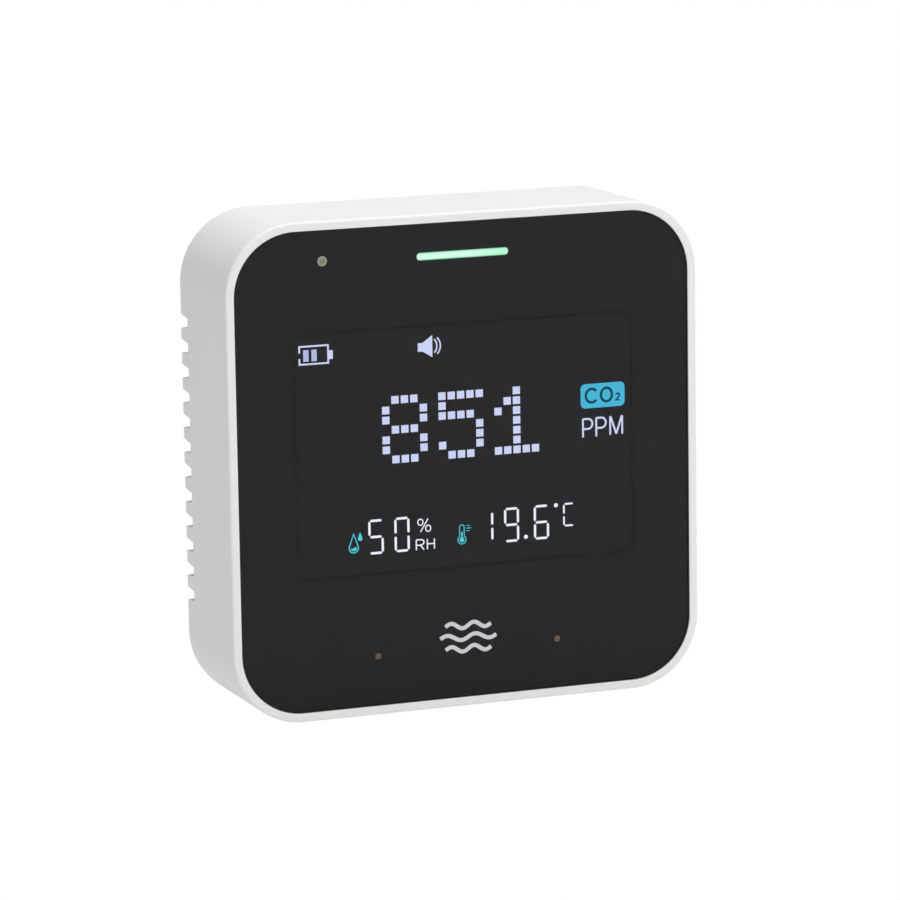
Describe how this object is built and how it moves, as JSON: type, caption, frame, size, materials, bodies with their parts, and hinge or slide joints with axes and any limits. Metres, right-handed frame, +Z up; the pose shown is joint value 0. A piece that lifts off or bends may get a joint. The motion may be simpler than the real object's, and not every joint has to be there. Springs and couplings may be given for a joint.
{
  "type": "air quality monitor",
  "caption": "Square white desktop air quality monitor: a flush black window over a lit segment display, a green status bar, slotted side vents and push buttons on the rear.",
  "frame": {"origin": "under the middle of the case, on the surface that its feet stand on", "axes": "+X to the right of a person facing the display, +Y away from that person, +Z up"},
  "size_m": [0.088, 0.0266, 0.0884],
  "materials": {
    "white_shell": "fine moulded texture, satin",
    "black_window": "polished",
    "black_tape": "matte",
    "green_light": "clear, lit from behind",
    "smoked_clear": "clear, smoked",
    "copper_foam": "woven conductive foil",
    "display_black": "glossy",
    "white_segments": "lit",
    "cyan_segments": "lit",
    "printed_mark": "silk-screened",
    "black_frame": "moulded",
    "light_guide": "diffusing",
    "rubber_strip": "layered",
    "green_board": "solder mask",
    "black_chip": "moulded",
    "cream_plastic": "moulded",
    "cell_foil": "foil pouch",
    "grey_foam": "closed-cell foam",
    "red_wire": "insulation",
    "black_wire": "insulation",
    "gold_shell": "gold-plated",
    "white_filter": "porous membrane",
    "steel": "machined",
    "grey_button": "satin",
    "black_rubber": "matte"
  },
  "bodies": {
    "case": {"front_housing": "white_shell", "rear_cover": "white_shell", "front_lens": "black_window", "lens_tape": "black_tape", "light_bar_guide": "green_light", "light_sensor_guide": "smoked_clear", "display_glass": "display_black", "display_frame": "black_frame", "display_light_guide": "light_guide", "display_contact_strip": "rubber_strip", "display_board": "green_board", "light_sensor_chip": "black_chip", "board_link_socket": "black_chip", "board_link_plug": "black_chip", "main_board": "green_board", "battery_pad": "grey_foam", "battery_cell": "cell_foil", "battery_socket": "cream_plastic", "battery_lead_positive": "red_wire", "battery_lead_negative": "black_wire", "gas_sensor_board": "green_board", "gas_sensor_chamber": "gold_shell", "gas_sensor_filter": "white_filter", "humidity_sensor": "black_chip", "controller_chip": "black_chip", "charge_chip": "black_chip", "buzzer": "black_chip", "usb_shell": "steel", "usb_tongue": "black_chip", "bar_led_left": "cream_plastic", "bar_led_middle": "cream_plastic", "bar_led_right": "cream_plastic", "touch_pad_left": "copper_foam", "touch_pad_right": "copper_foam", "gas_sensor_header_left": "black_chip", "gas_sensor_header_right": "black_chip", "foot_left": "black_rubber", "foot_right": "black_rubber", "power_switch": "black_chip", "mute_switch": "black_chip", "cover_screw_top_left": "steel", "cover_screw_top_right": "steel", "cover_screw_bottom_left": "steel", "cover_screw_bottom_right": "steel", "display_board_screw_top_left": "steel", "display_board_screw_top_right": "steel", "display_board_screw_bottom_left": "steel", "display_board_screw_bottom_right": "steel", "main_board_screw_top_left": "steel", "main_board_screw_top_right": "steel", "main_board_screw_bottom_left": "steel", "main_board_screw_bottom_right": "steel"},
    "power_button": {"power_button": "grey_button", "power_plunger": "black_frame"},
    "mute_button": {"mute_button": "grey_button", "mute_plunger": "black_frame"}
  },
  "joints": [
    {"name": "power_press", "type": "slide", "parent": "case", "child": "power_button", "axis": [0, -1, 0], "range_m": [0, 0.0005], "stiffness_N_per_m": 2400},
    {"name": "mute_press", "type": "slide", "parent": "case", "child": "mute_button", "axis": [0, -1, 0], "range_m": [0, 0.0005], "stiffness_N_per_m": 2400}
  ]
}
